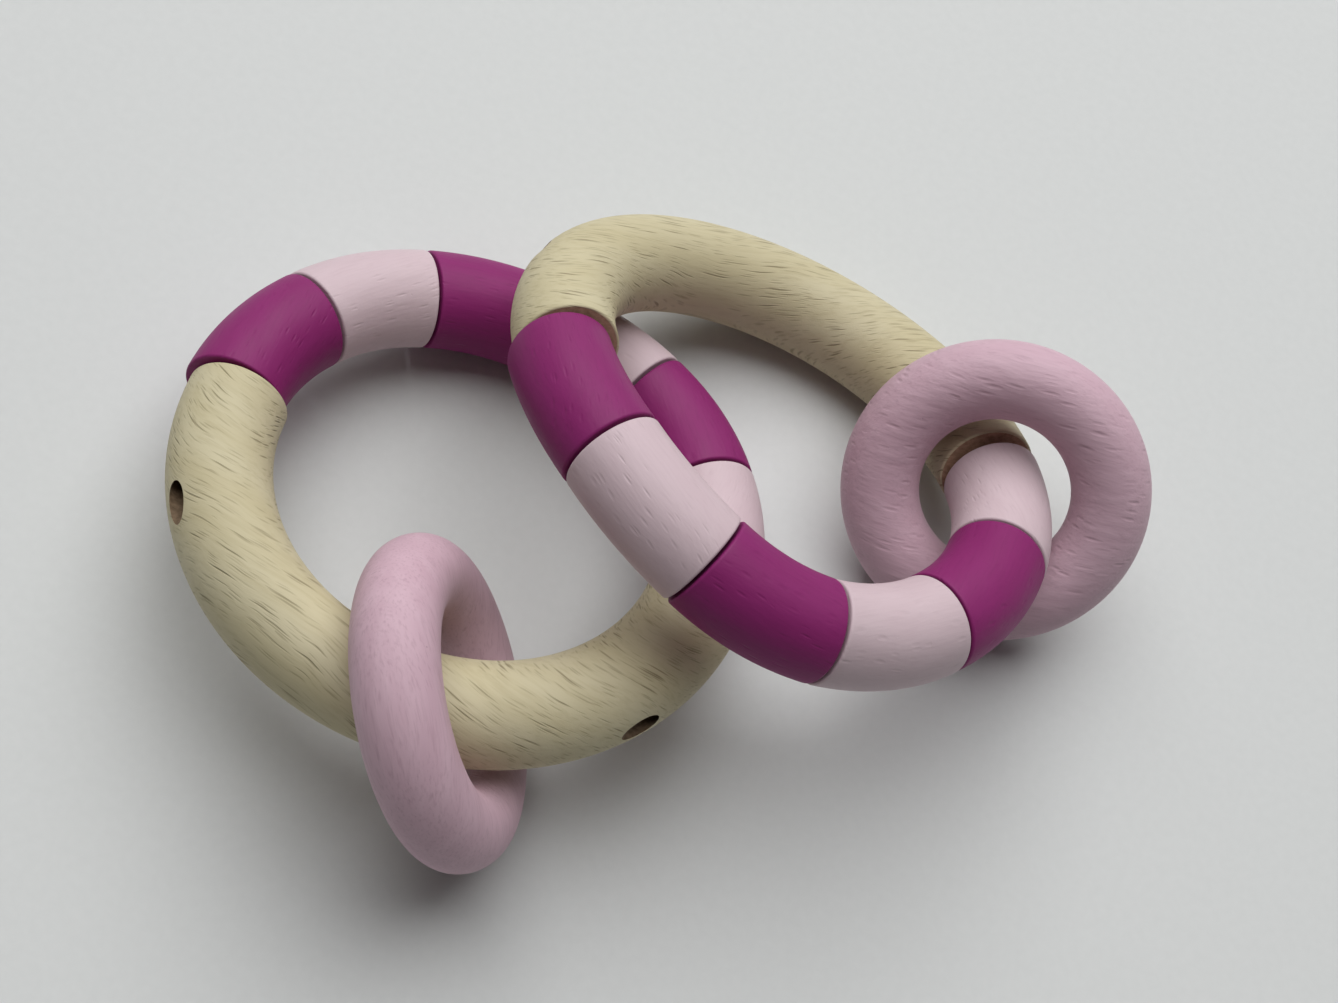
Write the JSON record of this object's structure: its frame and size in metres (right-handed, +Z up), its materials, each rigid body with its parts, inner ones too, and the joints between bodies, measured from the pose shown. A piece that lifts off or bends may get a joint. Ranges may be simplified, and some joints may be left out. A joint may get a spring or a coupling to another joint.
{
  "type": "wooden rattle teether",
  "caption": "Pair of wooden grasping rings, each a bare half ring closed by painted beads on elastic, with a loose small ring that rattles; one lies over the other.",
  "frame": {"origin": "middle of the bounding box in plan, on the table that the pair lies on", "axes": "+Z up from the table, -Y towards the viewer of the picture, +X to the right along the longest side"},
  "size_m": [0.111, 0.098, 0.0404],
  "materials": {
    "bare_beech": "bare sanded beech",
    "magenta_paint": "satin magenta paint on wood",
    "pale_pink_paint": "satin pale pink paint on wood",
    "mid_pink_paint": "satin pink paint on wood",
    "white_elastic": "white round elastic cord"
  },
  "bodies": {
    "a_ring": {"a_half_ring": "bare_beech", "a_cord": "white_elastic", "a_knot_1": "white_elastic", "a_knot_2": "white_elastic"},
    "a_bead_1": {"a_bead_1": "magenta_paint"},
    "a_bead_2": {"a_bead_2": "pale_pink_paint"},
    "a_bead_3": {"a_bead_3": "magenta_paint"},
    "a_bead_4": {"a_bead_4": "pale_pink_paint"},
    "a_bead_5": {"a_bead_5": "magenta_paint"},
    "a_bead_6": {"a_bead_6": "pale_pink_paint"},
    "a_small_ring": {"a_small_ring": "mid_pink_paint"},
    "b_ring": {"b_half_ring": "bare_beech", "b_cord": "white_elastic", "b_knot_1": "white_elastic", "b_knot_2": "white_elastic"},
    "b_bead_1": {"b_bead_1": "magenta_paint"},
    "b_bead_2": {"b_bead_2": "pale_pink_paint"},
    "b_bead_3": {"b_bead_3": "magenta_paint"},
    "b_bead_4": {"b_bead_4": "pale_pink_paint"},
    "b_bead_5": {"b_bead_5": "magenta_paint"},
    "b_bead_6": {"b_bead_6": "pale_pink_paint"},
    "b_small_ring": {"b_small_ring": "mid_pink_paint"}
  },
  "joints": [
    {"name": "b_lift", "type": "slide", "parent": "a_ring", "child": "b_ring", "axis": [0, 0, 1], "range_m": [0, 0.06]},
    {"name": "a_bead_1_twist", "type": "hinge", "parent": "a_ring", "child": "a_bead_1", "pos_m": [-0.04809, 0.00026, 0.01316], "axis": [0.1883, 0.9633, -0.1914], "range_deg": [-5, 5]},
    {"name": "a_bead_2_twist", "type": "hinge", "parent": "a_ring", "child": "a_bead_2", "pos_m": [-0.04162, 0.0133, 0.00998], "axis": [0.6499, 0.7275, -0.2202], "range_deg": [-5, 5]},
    {"name": "a_bead_3_twist", "type": "hinge", "parent": "a_ring", "child": "a_bead_3", "pos_m": [-0.02934, 0.02132, 0.00719], "axis": [0.9403, 0.3097, -0.1409], "range_deg": [-5, 5]},
    {"name": "a_bead_4_twist", "type": "hinge", "parent": "a_ring", "child": "a_bead_4", "pos_m": [-0.01452, 0.02232, 0.00639], "axis": [0.9829, -0.1799, 0.0383], "range_deg": [-5, 5]},
    {"name": "a_bead_5_twist", "type": "hinge", "parent": "a_ring", "child": "a_bead_5", "pos_m": [-0.00109, 0.0161, 0.00796], "axis": [0.7613, -0.6272, 0.1647], "range_deg": [-5, 5]},
    {"name": "a_bead_6_twist", "type": "hinge", "parent": "a_ring", "child": "a_bead_6", "pos_m": [0.0074, 0.00418, 0.01071], "axis": [0.3407, -0.9203, 0.1921], "range_deg": [-5, 5]},
    {"name": "a_small_ring_travel", "type": "hinge", "parent": "a_ring", "child": "a_small_ring", "pos_m": [-0.01974, -0.00521, 0.01374], "axis": [0.0141, 0.1648, 0.9862], "range_deg": [-75, 45]},
    {"name": "b_bead_1_twist", "type": "hinge", "parent": "b_ring", "child": "b_bead_1", "pos_m": [-0.01187, 0.00211, 0.03216], "axis": [0.665, -0.6942, 0.2754], "range_deg": [-5, 5]},
    {"name": "b_bead_2_twist", "type": "hinge", "parent": "b_ring", "child": "b_bead_2", "pos_m": [0.00038, -0.0065, 0.03363], "axis": [0.9055, -0.4165, -0.0809], "range_deg": [-5, 5]},
    {"name": "b_bead_3_twist", "type": "hinge", "parent": "b_ring", "child": "b_bead_3", "pos_m": [0.01504, -0.00956, 0.03073], "axis": [0.9566, 0.0356, -0.2891], "range_deg": [-5, 5]},
    {"name": "b_bead_4_twist", "type": "hinge", "parent": "b_ring", "child": "b_bead_4", "pos_m": [0.02857, -0.00468, 0.02609], "axis": [0.7544, 0.585, -0.2978], "range_deg": [-5, 5]},
    {"name": "b_bead_5_twist", "type": "hinge", "parent": "b_ring", "child": "b_bead_5", "pos_m": [0.03699, 0.00718, 0.02113], "axis": [0.308, 0.8934, -0.327], "range_deg": [-5, 5]},
    {"name": "b_bead_6_twist", "type": "hinge", "parent": "b_ring", "child": "b_bead_6", "pos_m": [0.03769, 0.02133, 0.01546], "axis": [-0.2259, 0.8931, -0.3891], "range_deg": [-5, 5]},
    {"name": "b_small_ring_travel", "type": "hinge", "parent": "b_ring", "child": "b_small_ring", "pos_m": [0.00936, 0.01849, 0.02156], "axis": [0.0747, 0.5315, 0.8438], "range_deg": [0, 75]}
  ]
}
